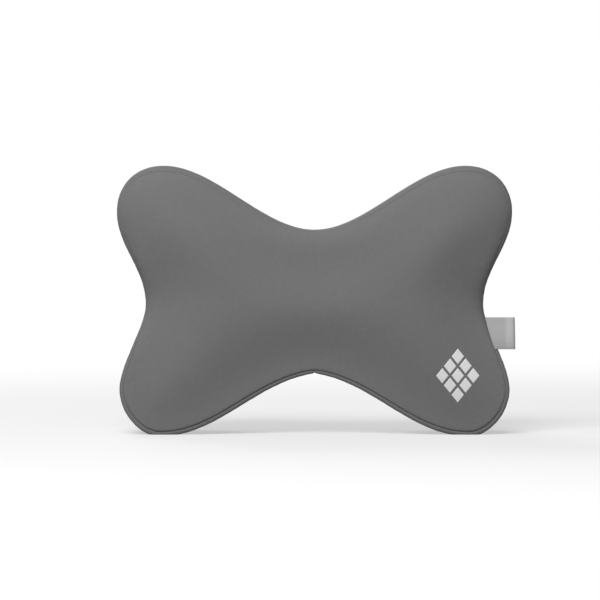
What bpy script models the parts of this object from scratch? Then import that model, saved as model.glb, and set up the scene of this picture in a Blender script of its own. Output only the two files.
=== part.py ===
"""Car neck pillow: a foam core in a sewn cover, with a zip and a buckled strap on its back.

Metres, +Z up. The pillow faces -Y and stands on its two lower lobes. The origin is on the flat
back, in the middle of the part that lies against a headrest. Left and right are mirror images
about X = 0, apart from the label, the zip's slider and the buckle.
"""

import math

import bmesh
import bpy
import numpy as np
from mathutils import Matrix, Vector

MM = 0.001
SEAT_GAP = 0.3 * MM  # left between pieces that touch

# The right half of the outline from the front, as (x, z): saddle, upper lobe, waist, lower lobe,
# notch. A crest is the top or bottom of a lobe, and a tip is where it reaches furthest sideways.
SADDLE_Z = 55 * MM
UPPER_CREST = (114.5 * MM, 103.5 * MM)
UPPER_TIP = (150 * MM, 68.5 * MM)
WAIST = (128.5 * MM, -2 * MM)
LOWER_TIP = (148 * MM, -66 * MM)
LOWER_CREST = (118 * MM, -102 * MM)
NOTCH_Z = -54 * MM
SIT_DEPTH = 1.5 * MM  # how far the lower lobes are pressed flat where the pillow stands

# How far the outline keeps level or upright before and after each of those knots.
SADDLE_REACH = 39 * MM
UPPER_CREST_REACH = (39 * MM, 22 * MM)
UPPER_TIP_REACH = (20 * MM, 26 * MM)
WAIST_REACH = (28 * MM, 16 * MM)
LOWER_TIP_REACH = (18 * MM, 20 * MM)
LOWER_CREST_REACH = (13 * MM, 45 * MM)
NOTCH_REACH = 45 * MM
NOTCH_RISE = 0.15  # slope at which the two sides meet in the notch, where the band is joined

# Depth, from the back at Y = 0 to the front.
BACK_ROUND = 6 * MM  # depth of the rounded edge between back and band
BACK_ROLL = 12 * MM  # how far that rounding reaches in from the band
BAND_WIDTH = 70 * MM
EDGE_RISE = 3 * MM  # how far the front's rounded edge stands out past its seam
EDGE_ROLL = 2 * MM  # how wide the curve is by which it rises
WAIST_RISE = 10 * MM  # the same two at the waist, where the pillow is drawn in
WAIST_ROLL = 16 * MM
WAIST_REACH_Z = 30 * MM  # how far up and down the waist's edge reaches
DOME = 14 * MM  # how much further the middle of the front stands out
DOME_REACH = 35 * MM
HOLLOW_DEPTH = 10 * MM  # the dip for the head, below the saddle
HOLLOW_Z = 105 * MM  # height of the middle of the head
HOLLOW_FLOOR_RADIUS = 55 * MM
HOLLOW_RIM_RADIUS = 108 * MM
SEAM_INSET = 1.2 * MM  # how far the front seam lies inside the band at the waist and saddle
NOTCH_SEAM_INSET = 2.8 * MM  # at the notch
LOBE_SEAM_INSET = 4.4 * MM  # and round the lobes
SHOULDER_POWER = 8  # how late the band turns in to the front seam
LOBE_START_X = 60 * MM  # a lobe is full this far out from the saddles
LOBE_START_Z = 50 * MM  # and this far up or down from the waist
BACK_SEAM_INSET = 4 * MM
BACK_SHOULDER_POWER = 3
COVER_WALL = 1.5 * MM

# Zip across the back.
ZIP_Z = -14 * MM
ZIP_LENGTH = 200 * MM
ZIP_OPENING = 9 * MM  # height of the slot between the two back panels
TAPE_THICKNESS = 0.6 * MM
TAPE_OVERLAP = 7 * MM  # how far a tape runs on behind its panel
CHAIN_PITCH_GAP = 1.2 * MM  # between the two rows of teeth, where the slider's neck runs
CHAIN_WIDTH = 2 * MM
CHAIN_HEIGHT = 1.4 * MM
STOP_LENGTH = 3 * MM
STOP_WALL = 0.5 * MM
SLIDER_LENGTH = 9 * MM
SLIDER_PLATE = 0.9 * MM
SLIDER_FLANGE = 0.8 * MM
SLIDER_NECK = 0.6 * MM
LUG_WIDTH = 2.2 * MM
LUG_WALL = 0.9 * MM
LUG_BORE = 2.4 * MM  # inner length and height of the lug that the pull hangs in
PULL_LENGTH = 22 * MM
PULL_WIDTH = 5.6 * MM
PULL_THICKNESS = 1 * MM
PULL_BAR = 1.1 * MM

# Strap and buckle behind the lower half of the back.
STRAP_Z = -36 * MM
STRAP_WIDTH = 25 * MM
STRAP_THICKNESS = 1.2 * MM
STRAP_ANCHOR_X = 98 * MM  # inner end of the stretch that is sewn down
STRAP_SEWN_LENGTH = 15 * MM
STRAP_RISE = 18 * MM  # length over which the strap leaves the back
LOOP_DEPTH = 18 * MM  # clear depth between the back and the strap, for the headrest's posts
TAIL_LENGTH = 46 * MM  # free end of the adjustable half, past its buckle
SEWN_TAIL_LENGTH = 18 * MM
STRAP_SPLAY = 12 * MM  # length over which two layers open towards a buckle's bar

KEEPER_X = -50 * MM
KEEPER_LENGTH = 5 * MM
KEEPER_WALL = 1.6 * MM
KEEPER_CLEARANCE = 0.35 * MM

MOUTH_X = -10 * MM  # where the socket's mouth meets the plug's shoulder
BUCKLE_THICKNESS = 8.4 * MM
BUCKLE_RIM = 4.5 * MM  # plastic on either side of the webbing's slot
BAR_THICKNESS = 3.2 * MM
BAR_SLOT = 6 * MM
SOCKET_BODY = 24.8 * MM
SOCKET_WALL = 2 * MM
SHOULDER_LENGTH = 5 * MM
PRONG_LENGTH = 20 * MM
PRONG_WIDTH = 3 * MM
PRONG_THICKNESS = 3.4 * MM
GUIDE_LENGTH = 15 * MM
BARB_DEPTH = 3 * MM
BARB_LENGTH = 8 * MM
BUCKLE_CLEARANCE = 0.5 * MM
BUCKLE_EDGE = 1.2 * MM  # rounding of the buckle's edges

# Label in the right side seam.
LABEL_Z = -23.7 * MM
LABEL_WIDTH = 24 * MM
LABEL_REACH_X = 152.4 * MM
LABEL_THICKNESS = 0.5 * MM

# Levels that follow from the sizes above.
FLOOR_Z = LOWER_CREST[1] + SIT_DEPTH
BACK_SEAM_Y = -BACK_ROUND
FRONT_SEAM_Y = BACK_SEAM_Y - BAND_WIDTH
TAPE_TOP_Y = -COVER_WALL - SEAT_GAP
CHAIN_BASE_Y = TAPE_TOP_Y + SEAT_GAP
CHAIN_TOP_Y = CHAIN_BASE_Y + CHAIN_HEIGHT
CHAIN_OUTER = CHAIN_PITCH_GAP / 2 + CHAIN_WIDTH
SLIDER_TOP_Y = CHAIN_TOP_Y + SEAT_GAP + SLIDER_PLATE
SLIDER_FOOT_Y = TAPE_TOP_Y - TAPE_THICKNESS - SEAT_GAP - SLIDER_PLATE
FOAM_BACK_Y = SLIDER_FOOT_Y - SEAT_GAP
PULL_AXIS_Y = SLIDER_TOP_Y + LUG_BORE / 2
SLIDER_CLOSED_X = ZIP_LENGTH / 2 - STOP_LENGTH - 2 * SEAT_GAP - SLIDER_LENGTH / 2
LAYER_OFFSET = (STRAP_THICKNESS + SEAT_GAP) / 2  # from the middle of two layers to one of them
STRAP_LINE_Y = LOOP_DEPTH + STRAP_THICKNESS / 2 + LAYER_OFFSET
BAR_OFFSET = BAR_THICKNESS / math.sqrt(2) + SEAT_GAP + STRAP_THICKNESS / 2
BUCKLE_WIDTH = STRAP_WIDTH + 2 * BUCKLE_RIM
SOCKET_END_X = MOUTH_X + SOCKET_BODY + BAR_SLOT + BAR_THICKNESS
PLUG_END_X = MOUTH_X - SEAT_GAP - SHOULDER_LENGTH - BAR_SLOT - BAR_THICKNESS

# Mesh density.
STEPS_PER_CURVE = (7, 4, 3, 3, 6, 10)  # close enough at the lower crest to make its flat
FRONT_STATIONS = (0.22, 0.42, 0.58, 0.71, 0.82, 0.91, 0.965, 1.0)
BAND_STATIONS = (-0.95, -0.83, -0.3, 0.3, 0.72, 1.0)
BACK_ROLL_ANGLES = (30, 60, 90)
ARC_STEPS = 8
SPLAY_STEPS = 4


def new_collection(name):
    """A collection linked to the scene."""
    made = bpy.data.collections.new(name)
    bpy.context.scene.collection.children.link(made)
    return made


def material(name, colour, roughness, metallic=0.0):
    """A Principled material of one colour, given as linear red, green and blue."""
    made = bpy.data.materials.new(name)
    made.use_nodes = True
    shader = made.node_tree.nodes["Principled BSDF"]
    shader.inputs["Base Color"].default_value = (*colour, 1.0)
    shader.inputs["Roughness"].default_value = roughness
    shader.inputs["Metallic"].default_value = metallic
    return made


def add_object(name, mesh, finish, location=(0, 0, 0)):
    """A visible piece of the pillow, made of one material."""
    made = bpy.data.objects.new(name, mesh)
    made.location = location
    PARTS.objects.link(made)
    mesh.materials.append(finish)
    return made


def add_cutter(name, mesh, location=(0, 0, 0)):
    """A helper that a Boolean reads, kept out of renders."""
    made = bpy.data.objects.new(name, mesh)
    made.location = location
    made.hide_render = True
    made.display_type = "WIRE"
    CUTTERS.objects.link(made)
    return made


def boolean(piece, operation, other):
    """Adds a Boolean of piece with other."""
    made = piece.modifiers.new(f"{operation.title()} {other.name}", "BOOLEAN")
    made.operation = operation
    made.object = other


def bevel(piece, width, segments=2):
    """Rounds the sharp edges of piece."""
    made = piece.modifiers.new("Bevel", "BEVEL")
    made.width = width
    made.segments = segments


def box_mesh(low, high):
    """A box mesh between two corners."""
    bm = bmesh.new()
    bmesh.ops.create_cube(bm, size=1)
    size = Vector(high) - Vector(low)
    middle = (Vector(high) + Vector(low)) / 2
    bmesh.ops.transform(bm, matrix=Matrix.LocRotScale(middle, None, size), verts=bm.verts)
    mesh = bpy.data.meshes.new("box")
    bm.to_mesh(mesh)
    bm.free()
    return mesh


ACROSS_Z = Matrix.Identity(4)
ACROSS_Y = Matrix.Rotation(math.pi / 2, 4, "X")
ACROSS_X = Matrix(((0, 0, 1, 0), (1, 0, 0, 0), (0, 1, 0, 0), (0, 0, 0, 1)))


def plate_mesh(outlines, thickness, turn):
    """Flat closed outlines, the later ones holes, extruded by thickness about their plane.

    turn is ACROSS_Z for outlines in X and Y, ACROSS_Y for X and Z, ACROSS_X for Y and Z.
    """
    curve = bpy.data.curves.new("outline", "CURVE")
    curve.dimensions = "2D"
    curve.fill_mode = "BOTH"
    curve.extrude = thickness / 2
    for outline in outlines:
        spline = curve.splines.new("POLY")
        spline.points.add(len(outline) - 1)
        spline.points.foreach_set("co", [c for a, b in outline for c in (a, b, 0.0, 1.0)])
        spline.use_cyclic_u = True
    guide = bpy.data.objects.new("outline", curve)
    bpy.context.scene.collection.objects.link(guide)
    evaluated = guide.evaluated_get(bpy.context.evaluated_depsgraph_get())
    mesh = bpy.data.meshes.new_from_object(evaluated)
    bpy.data.objects.remove(guide)
    bm = bmesh.new()
    bm.from_mesh(mesh)
    bmesh.ops.remove_doubles(bm, verts=bm.verts, dist=0.00001)
    bmesh.ops.transform(bm, matrix=turn, verts=bm.verts)
    bmesh.ops.recalc_face_normals(bm, faces=bm.faces)
    bm.to_mesh(mesh)
    bm.free()
    return mesh


def rectangle(low, high, radius=0.0, steps=4):
    """A rectangle's outline, its corners rounded where radius is given."""
    if not radius:
        return [low, (high[0], low[1]), high, (low[0], high[1])]
    corners = ((high[0], low[1], -90), (*high, 0), (low[0], high[1], 90), (*low, 180))
    points = []
    for x, y, start in corners:
        cx = x - math.copysign(radius, x - (low[0] + high[0]) / 2)
        cy = y - math.copysign(radius, y - (low[1] + high[1]) / 2)
        for i in range(steps + 1):
            angle = math.radians(start + 90 * i / steps)
            points.append((cx + radius * math.cos(angle), cy + radius * math.sin(angle)))
    return points


def smooth_step(value):
    """0 below 0, 1 above 1, and an even curve between them."""
    t = np.clip(value, 0, 1)
    return t * t * (3 - 2 * t)


def outline_loop():
    """The pillow's outline as (x, z) points, clockwise from the saddle.

    Six cubic curves join the seven knots of the right half. At each knot but the notch the outline
    runs level or upright, and its reach says how far it keeps to that way. The left half mirrors
    the right.
    """
    right, down, left, rising = (1, 0), (0, -1), (-1, 0), (-1, NOTCH_RISE)
    knots = (
        ((0, SADDLE_Z), right, 0, SADDLE_REACH),
        (UPPER_CREST, right, *UPPER_CREST_REACH),
        (UPPER_TIP, down, *UPPER_TIP_REACH),
        (WAIST, down, *WAIST_REACH),
        (LOWER_TIP, down, *LOWER_TIP_REACH),
        (LOWER_CREST, left, *LOWER_CREST_REACH),
        ((0, NOTCH_Z), rising, NOTCH_REACH, 0),
    )
    points = [np.array([(0, SADDLE_Z)])]
    for start, end, steps in zip(knots, knots[1:], STEPS_PER_CURVE, strict=False):
        t = np.linspace(0, 1, steps + 1)[1:, None]
        first, last = np.array(start[0]), np.array(end[0])
        leave = first + np.array(start[1]) * start[3]
        arrive = last - np.array(end[1]) * end[2]
        points.append(
            (1 - t) ** 3 * first
            + 3 * (1 - t) ** 2 * t * leave
            + 3 * (1 - t) * t**2 * arrive
            + t**3 * last
        )
    half = np.concatenate(points)
    return np.concatenate([half, (half * (-1, 1))[-2:0:-1]])


def outward(loop):
    """Unit normals of a clockwise loop, pointing out of it."""
    along = np.roll(loop, -1, axis=0) - np.roll(loop, 1, axis=0)
    normal = np.stack([-along[:, 1], along[:, 0]], axis=1)
    return normal / np.linalg.norm(normal, axis=1, keepdims=True)


def distance_to_loop(points, loop):
    """How far each point lies from the nearest stretch of a closed loop."""
    start = loop[None]
    along = np.roll(loop, -1, axis=0)[None] - start
    reach = points[:, None] - start
    share = np.clip((reach * along).sum(2) / (along**2).sum(2), 0, 1)
    return np.linalg.norm(reach - share[..., None] * along, axis=2).min(axis=1)


def front_depth(points, seam):
    """How far the front stands out past the seam's plane at each (x, z).

    With d the distance to the seam, it is an edge that rises by the square root of
    1 - exp(-2 d / roll), and a dome that rises by 1 - exp(-(d / reach) ** 2). The edge is higher
    and wider at the waist, and the dome is lower in the hollow for the head.
    """
    inside = distance_to_loop(points, seam)
    waist = smooth_step(np.abs(points[:, 0]) / WAIST[0]) * np.exp(
        -((points[:, 1] - WAIST[1]) ** 2) / WAIST_REACH_Z**2
    )
    roll = EDGE_ROLL + (WAIST_ROLL - EDGE_ROLL) * waist
    edge = np.sqrt(1 - np.exp(-2 * inside / roll))
    from_head = np.linalg.norm(points - (0, HOLLOW_Z), axis=1)
    rim = (HOLLOW_RIM_RADIUS - from_head) / (HOLLOW_RIM_RADIUS - HOLLOW_FLOOR_RADIUS)
    height = EDGE_RISE + (WAIST_RISE - EDGE_RISE) * waist
    dome = DOME - HOLLOW_DEPTH * smooth_step(rim)
    return height * edge + dome * (1 - np.exp(-((inside / DOME_REACH) ** 2)))


def ring(points, depth):
    """(x, z) points at a depth, kept above the floor, as (x, y, z)."""
    level = np.broadcast_to(depth, len(points))
    return np.stack([points[:, 0], level, np.maximum(points[:, 1], FLOOR_Z)], axis=1)


def skin_mesh():
    """The cover's outer surface as one closed mesh: rings of the outline from front to back."""
    loop = outline_loop()
    normal = outward(loop)
    from_saddle, from_waist = np.abs(loop[:, :1]), np.abs(loop[:, 1:])
    lobe = smooth_step(from_saddle / LOBE_START_X) * smooth_step(from_waist / LOBE_START_Z)
    below = smooth_step(-loop[:, 1:] / LOBE_START_Z)
    least_inset = SEAM_INSET + (NOTCH_SEAM_INSET - SEAM_INSET) * below
    seam_inset = least_inset + (LOBE_SEAM_INSET - least_inset) * lobe
    seam = loop - normal * seam_inset
    rings = [ring(seam * s, FRONT_SEAM_Y - front_depth(seam * s, seam)) for s in FRONT_STATIONS]
    for t in BAND_STATIONS:
        inset = BACK_SEAM_INSET * t**BACK_SHOULDER_POWER if t > 0 else seam_inset * t**SHOULDER_POWER
        depth = (FRONT_SEAM_Y + BACK_SEAM_Y) / 2 + t * BAND_WIDTH / 2
        rings.append(ring(loop - normal * inset, depth))
    for degrees in BACK_ROLL_ANGLES:
        angle = math.radians(degrees)
        inset = BACK_SEAM_INSET + BACK_ROLL * (1 - math.cos(angle))
        depth = BACK_SEAM_Y + BACK_ROUND * math.sin(angle)
        rings.append(ring(loop - normal * inset, depth))
    count = len(loop)
    pole = (0, FRONT_SEAM_Y - front_depth(np.zeros((1, 2)), seam)[0], 0)
    points = np.concatenate([[pole], *rings])
    here = np.arange(count)
    following = np.roll(here, -1)
    faces = [(0, 1 + a, 1 + b) for a, b in zip(here, following, strict=True)]
    for k in range(len(rings) - 1):
        near, far = 1 + k * count, 1 + (k + 1) * count
        faces += [(near + a, far + a, far + b, near + b) for a, b in zip(here, following, strict=True)]
    faces.append(tuple(len(points) - count + here))
    mesh = bpy.data.meshes.new("skin")
    mesh.from_pydata(points.tolist(), [], [[int(i) for i in face] for face in faces])
    bm = bmesh.new()
    bm.from_mesh(mesh)
    bmesh.ops.recalc_face_normals(bm, faces=bm.faces)
    bmesh.ops.triangulate(bm, faces=[face for face in bm.faces if len(face.verts) == 4])
    bm.to_mesh(mesh)
    bm.free()
    return mesh


def offset_skin(piece, distance):
    """Moves the skin of piece along its normals, inwards where distance is negative."""
    made = piece.modifiers.new("Offset", "DISPLACE")
    made.mid_level = 0
    made.strength = distance


def build_cover():
    """The sewn cover: front panel, side band, and a back in two panels with the zip between."""
    reach = 2 * UPPER_TIP[0]
    half_gap = SEAT_GAP / 2
    hollow = add_cutter("cover_inside", skin_mesh())
    offset_skin(hollow, -COVER_WALL)
    front_room = add_cutter(
        "front_room", box_mesh((-reach, -reach, -reach), (reach, FRONT_SEAM_Y - half_gap, reach))
    )
    band_room = add_cutter(
        "band_room",
        box_mesh(
            (-reach, FRONT_SEAM_Y + half_gap, -reach), (reach, BACK_SEAM_Y - half_gap, reach)
        ),
    )
    upper_room = add_cutter(
        "upper_room",
        box_mesh((-reach, BACK_SEAM_Y + half_gap, ZIP_Z + half_gap), (reach, reach, reach)),
    )
    lower_room = add_cutter(
        "lower_room",
        box_mesh((-reach, BACK_SEAM_Y + half_gap, -reach), (reach, reach, ZIP_Z - half_gap)),
    )
    slot = add_cutter(
        "zip_slot",
        box_mesh(
            (-ZIP_LENGTH / 2, -ZIP_OPENING, ZIP_Z - ZIP_OPENING / 2),
            (ZIP_LENGTH / 2, ZIP_OPENING, ZIP_Z + ZIP_OPENING / 2),
        ),
    )
    rooms = {
        "cover_front_panel": front_room,
        "cover_side_band": band_room,
        "cover_back_upper": upper_room,
        "cover_back_lower": lower_room,
    }
    for name, room in rooms.items():
        panel = add_object(name, skin_mesh(), FABRIC)
        boolean(panel, "DIFFERENCE", hollow)
        boolean(panel, "INTERSECT", room)
        if room in (upper_room, lower_room):
            boolean(panel, "DIFFERENCE", slot)


def build_foam():
    """The foam block: the cover's own shape, just inside its wall, cut flat behind the zip."""
    reach = 2 * UPPER_TIP[0]
    core = add_object("foam_core", skin_mesh(), FOAM)
    offset_skin(core, -COVER_WALL - SEAT_GAP)
    behind = add_cutter("behind_foam", box_mesh((-reach, FOAM_BACK_Y, -reach), (reach, reach, reach)))
    boolean(core, "DIFFERENCE", behind)


def build_zip():
    """The zip: two tapes behind the slot, a row of teeth on each, and stops at both ends."""
    half = ZIP_LENGTH / 2
    tape_reach = half + TAPE_OVERLAP
    tape_outer = ZIP_OPENING / 2 + TAPE_OVERLAP
    stop_top = CHAIN_TOP_Y + SEAT_GAP + STOP_WALL
    for side, sign in (("upper", 1), ("lower", -1)):
        inner = ZIP_Z + sign * CHAIN_PITCH_GAP / 2
        outer = ZIP_Z + sign * tape_outer
        chain = ZIP_Z + sign * CHAIN_OUTER
        tape_low = (-tape_reach, TAPE_TOP_Y - TAPE_THICKNESS, min(inner, outer))
        tape_high = (tape_reach, TAPE_TOP_Y, max(inner, outer))
        add_object(f"zip_tape_{side}", box_mesh(tape_low, tape_high), TAPE)
        row_low = (-half + SEAT_GAP, CHAIN_BASE_Y, min(inner, chain))
        row_high = (half - SEAT_GAP, CHAIN_TOP_Y, max(inner, chain))
        add_object(f"zip_teeth_{side}", box_mesh(row_low, row_high), TEETH)
        stop_outline = [
            (CHAIN_BASE_Y, sign * (CHAIN_OUTER + SEAT_GAP + STOP_WALL)),
            (CHAIN_BASE_Y, sign * (CHAIN_OUTER + SEAT_GAP)),
            (CHAIN_TOP_Y + SEAT_GAP, sign * (CHAIN_OUTER + SEAT_GAP)),
            (CHAIN_TOP_Y + SEAT_GAP, sign * CHAIN_PITCH_GAP / 2),
            (stop_top, sign * CHAIN_PITCH_GAP / 2),
            (stop_top, sign * (CHAIN_OUTER + SEAT_GAP + STOP_WALL)),
        ]
        stop = plate_mesh([stop_outline], STOP_LENGTH, ACROSS_X)
        stop_x = half - SEAT_GAP - STOP_LENGTH / 2
        add_object(f"zip_top_stop_{side}", stop, METAL, (stop_x, 0, ZIP_Z))
    clip_reach = CHAIN_OUTER + SEAT_GAP + STOP_WALL
    clip = add_object(
        "zip_bottom_stop",
        box_mesh((-STOP_LENGTH / 2, CHAIN_BASE_Y, -clip_reach), (STOP_LENGTH / 2, stop_top, clip_reach)),
        METAL,
        (-half + SEAT_GAP + STOP_LENGTH / 2, 0, ZIP_Z),
    )
    under_z = CHAIN_OUTER + SEAT_GAP
    under = box_mesh(
        (-STOP_LENGTH, CHAIN_BASE_Y - STOP_LENGTH, -under_z), (STOP_LENGTH, CHAIN_TOP_Y + SEAT_GAP, under_z)
    )
    boolean(clip, "DIFFERENCE", add_cutter("under_bottom_stop", under, clip.location))


def build_slider():
    """The zip's slider, at its closed end, and the pull that swings in its lug.

    The slider's section is two plates joined by a neck between the rows of teeth, and the upper
    plate has a flange outside each row. The lug is an arch along X that the pull's bar runs under.
    """
    flange_in = CHAIN_OUTER + SEAT_GAP
    flange_out = flange_in + SLIDER_FLANGE
    flange_foot = CHAIN_BASE_Y + SEAT_GAP
    upper_face = CHAIN_TOP_Y + SEAT_GAP
    lower_face = TAPE_TOP_Y - TAPE_THICKNESS - SEAT_GAP
    neck = SLIDER_NECK / 2
    half_section = [
        (SLIDER_TOP_Y, flange_out),
        (flange_foot, flange_out),
        (flange_foot, flange_in),
        (upper_face, flange_in),
        (upper_face, neck),
        (lower_face, neck),
        (lower_face, flange_in),
        (SLIDER_FOOT_Y, flange_in),
    ]
    section = half_section + [(y, -z) for y, z in reversed(half_section)]
    slider = add_object(
        "zip_slider",
        plate_mesh([section], SLIDER_LENGTH, ACROSS_X),
        METAL,
        (SLIDER_CLOSED_X, 0, ZIP_Z),
    )
    inner = LUG_BORE / 2
    outer = inner + LUG_WALL
    crown = PULL_AXIS_Y + inner + LUG_WALL
    root = SLIDER_TOP_Y - SLIDER_PLATE / 2
    arch = [
        (-outer, root),
        (-outer, crown - LUG_WALL / 2),
        (-inner, crown),
        (inner, crown),
        (outer, crown - LUG_WALL / 2),
        (outer, root),
        (inner, root),
        (inner, PULL_AXIS_Y + inner),
        (-inner, PULL_AXIS_Y + inner),
        (-inner, root),
    ]
    lug = add_cutter("slider_lug", plate_mesh([arch], LUG_WIDTH, ACROSS_Z), slider.location)
    boolean(slider, "UNION", lug)
    eye = LUG_WALL + LUG_BORE
    eye_half = LUG_WIDTH / 2 + SEAT_GAP
    tab = rectangle((-PULL_LENGTH, -PULL_WIDTH / 2), (PULL_BAR / 2, PULL_WIDTH / 2), PULL_BAR)
    window = rectangle((-PULL_BAR / 2 - eye, -eye_half), (-PULL_BAR / 2, eye_half))
    pull = add_object("zip_pull", plate_mesh([tab, window], PULL_THICKNESS, ACROSS_Y), METAL)
    pull.parent = slider
    pull.location = (0, PULL_AXIS_Y, 0)


def strap_path(bar_x, tail):
    """Centreline of half the strap, as (x, y), with the buckle's bar towards X = 0.

    It lies sewn along the back, rises to the strap's line, opens out to pass round the bar and runs
    back as a second layer of length tail.
    """
    lie = SEAT_GAP + STRAP_THICKNESS / 2
    near = STRAP_LINE_Y - LAYER_OFFSET
    top_x = STRAP_ANCHOR_X - STRAP_RISE
    points = [(STRAP_ANCHOR_X + STRAP_SEWN_LENGTH, lie)]
    for i in range(ARC_STEPS + 1):
        share = i / ARC_STEPS
        height = (1 - math.cos(math.pi * share)) / 2
        points.append((STRAP_ANCHOR_X - STRAP_RISE * share, lie + (near - lie) * height))
    for i in range(SPLAY_STEPS + 1):
        share = i / SPLAY_STEPS
        opening = BAR_OFFSET - (BAR_OFFSET - LAYER_OFFSET) * (1 + math.cos(math.pi * share)) / 2
        points.append((bar_x + STRAP_SPLAY * (1 - share), STRAP_LINE_Y - opening))
    layer = [(x, 2 * STRAP_LINE_Y - y) for x, y in reversed(points[-SPLAY_STEPS - 1 :])]
    for i in range(1, ARC_STEPS):
        angle = math.pi * i / ARC_STEPS
        x = bar_x - BAR_OFFSET * math.sin(angle)
        points.append((x, STRAP_LINE_Y - BAR_OFFSET * math.cos(angle)))
    points += layer
    points.append((min(bar_x + tail, top_x), STRAP_LINE_Y + LAYER_OFFSET))
    return points


def ribbon_mesh(path, z, width):
    """An open strip of width about height z, along a path of (x, y) points."""
    count = len(path)
    points = [(x, y, z - width / 2) for x, y in path] + [(x, y, z + width / 2) for x, y in path]
    faces = [(i, i + 1, count + i + 1, count + i) for i in range(count - 1)]
    mesh = bpy.data.meshes.new("ribbon")
    mesh.from_pydata(points, [], faces)
    return mesh


def thicken(piece, thickness):
    """Gives an open strip its thickness, half to either side."""
    made = piece.modifiers.new("Solidify", "SOLIDIFY")
    made.thickness = thickness
    made.offset = 0
    made.use_even_offset = True


def build_strap():
    """The strap's two halves, and the keeper that holds the adjustable half's tail."""
    plug_bar = -(PLUG_END_X + BAR_THICKNESS / 2)
    socket_bar = SOCKET_END_X - BAR_THICKNESS / 2
    left = [(-x, y) for x, y in strap_path(plug_bar, TAIL_LENGTH)]
    right = strap_path(socket_bar, SEWN_TAIL_LENGTH)
    for name, path in (("strap_left", left), ("strap_right", right)):
        strap = add_object(name, ribbon_mesh(path, STRAP_Z, STRAP_WIDTH), WEBBING)
        thicken(strap, STRAP_THICKNESS)
    inner_y = LAYER_OFFSET + STRAP_THICKNESS / 2 + KEEPER_CLEARANCE
    inner_z = STRAP_WIDTH / 2 + KEEPER_CLEARANCE
    outer_y, outer_z = inner_y + KEEPER_WALL, inner_z + KEEPER_WALL
    outlines = [
        rectangle((-outer_y, -outer_z), (outer_y, outer_z), KEEPER_WALL),
        rectangle((-inner_y, -inner_z), (inner_y, inner_z)),
    ]
    keeper = plate_mesh(outlines, KEEPER_LENGTH, ACROSS_X)
    add_object("strap_keeper", keeper, PLASTIC, (KEEPER_X, STRAP_LINE_Y, STRAP_Z))


def webbing_slot(piece, low_x, high_x):
    """Cuts the slot beside a buckle's bar that the webbing passes through."""
    half = STRAP_WIDTH / 2 + BUCKLE_CLEARANCE
    slot = box_mesh((low_x, -BUCKLE_THICKNESS, -half), (high_x, BUCKLE_THICKNESS, half))
    boolean(piece, "DIFFERENCE", add_cutter(f"{piece.name}_slot", slot, piece.location))


def thin_bar(piece, low_x, high_x):
    """Cuts a buckle's bar down to its own thickness from both faces, so that the webbing fits."""
    half = STRAP_WIDTH / 2 + BUCKLE_CLEARANCE
    for face, sign in (("front", -1), ("rear", 1)):
        ys = sorted((sign * BAR_THICKNESS / 2, sign * BUCKLE_THICKNESS))
        cut = box_mesh((low_x, ys[0], -half), (high_x, ys[1], half))
        boolean(piece, "DIFFERENCE", add_cutter(f"{piece.name}_{face}_cut", cut, piece.location))


def build_buckle():
    """The side-release buckle. Both halves have their origins at the mouth, where they meet."""
    place = (MOUTH_X, STRAP_LINE_Y, STRAP_Z)
    half = BUCKLE_WIDTH / 2
    end = SOCKET_END_X - MOUTH_X
    body = rectangle((0, -half), (end, half), BUCKLE_RIM)
    socket = add_object("buckle_socket", plate_mesh([body], BUCKLE_THICKNESS, ACROSS_Y), PLASTIC, place)
    bevel(socket, BUCKLE_EDGE)
    pocket_y = PRONG_THICKNESS / 2 + BUCKLE_CLEARANCE
    prong_out = half - SOCKET_WALL - BARB_DEPTH
    pocket_z = prong_out + BUCKLE_CLEARANCE
    pocket_end = SOCKET_BODY - SOCKET_WALL
    pocket = box_mesh((-SOCKET_WALL, -pocket_y, -pocket_z), (pocket_end, pocket_y, pocket_z))
    boolean(socket, "DIFFERENCE", add_cutter("socket_pocket", pocket, place))
    window_start = PRONG_LENGTH - BARB_LENGTH - BUCKLE_CLEARANCE
    window = box_mesh((window_start, -pocket_y, -2 * half), (pocket_end, pocket_y, 2 * half))
    boolean(socket, "DIFFERENCE", add_cutter("socket_windows", window, place))
    webbing_slot(socket, SOCKET_BODY, SOCKET_BODY + BAR_SLOT)
    thin_bar(socket, SOCKET_BODY + BAR_SLOT / 2, end + BAR_SLOT)

    base_end = PLUG_END_X - MOUTH_X
    base = rectangle((base_end, -half), (-SEAT_GAP, half), BUCKLE_RIM)
    plug = add_object("buckle_plug", plate_mesh([base], BUCKLE_THICKNESS, ACROSS_Y), PLASTIC, place)
    bevel(plug, BUCKLE_EDGE)
    root_x = -SEAT_GAP - SHOULDER_LENGTH / 2
    barb_x = PRONG_LENGTH - BARB_LENGTH
    for name, sign in (("lower", -1), ("upper", 1)):
        arm = [
            (root_x, prong_out - PRONG_WIDTH),
            (root_x, prong_out),
            (barb_x, prong_out),
            (barb_x, prong_out + BARB_DEPTH),
            (PRONG_LENGTH - PRONG_WIDTH, prong_out + BARB_DEPTH / 2),
            (PRONG_LENGTH, prong_out - PRONG_WIDTH / 2),
            (PRONG_LENGTH - PRONG_WIDTH / 2, prong_out - PRONG_WIDTH),
        ]
        outline = [(x, sign * z) for x, z in arm]
        prong = add_cutter(f"plug_prong_{name}", plate_mesh([outline], PRONG_THICKNESS, ACROSS_Y), place)
        boolean(plug, "UNION", prong)
    guide = rectangle((root_x, -PRONG_WIDTH / 2), (GUIDE_LENGTH, PRONG_WIDTH / 2), PRONG_WIDTH / 3)
    boolean(plug, "UNION", add_cutter("plug_guide", plate_mesh([guide], PRONG_THICKNESS, ACROSS_Y), place))
    slot_start = base_end + BAR_THICKNESS
    webbing_slot(plug, slot_start, slot_start + BAR_SLOT)
    thin_bar(plug, base_end - BAR_SLOT, slot_start + BAR_SLOT / 2)


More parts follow.
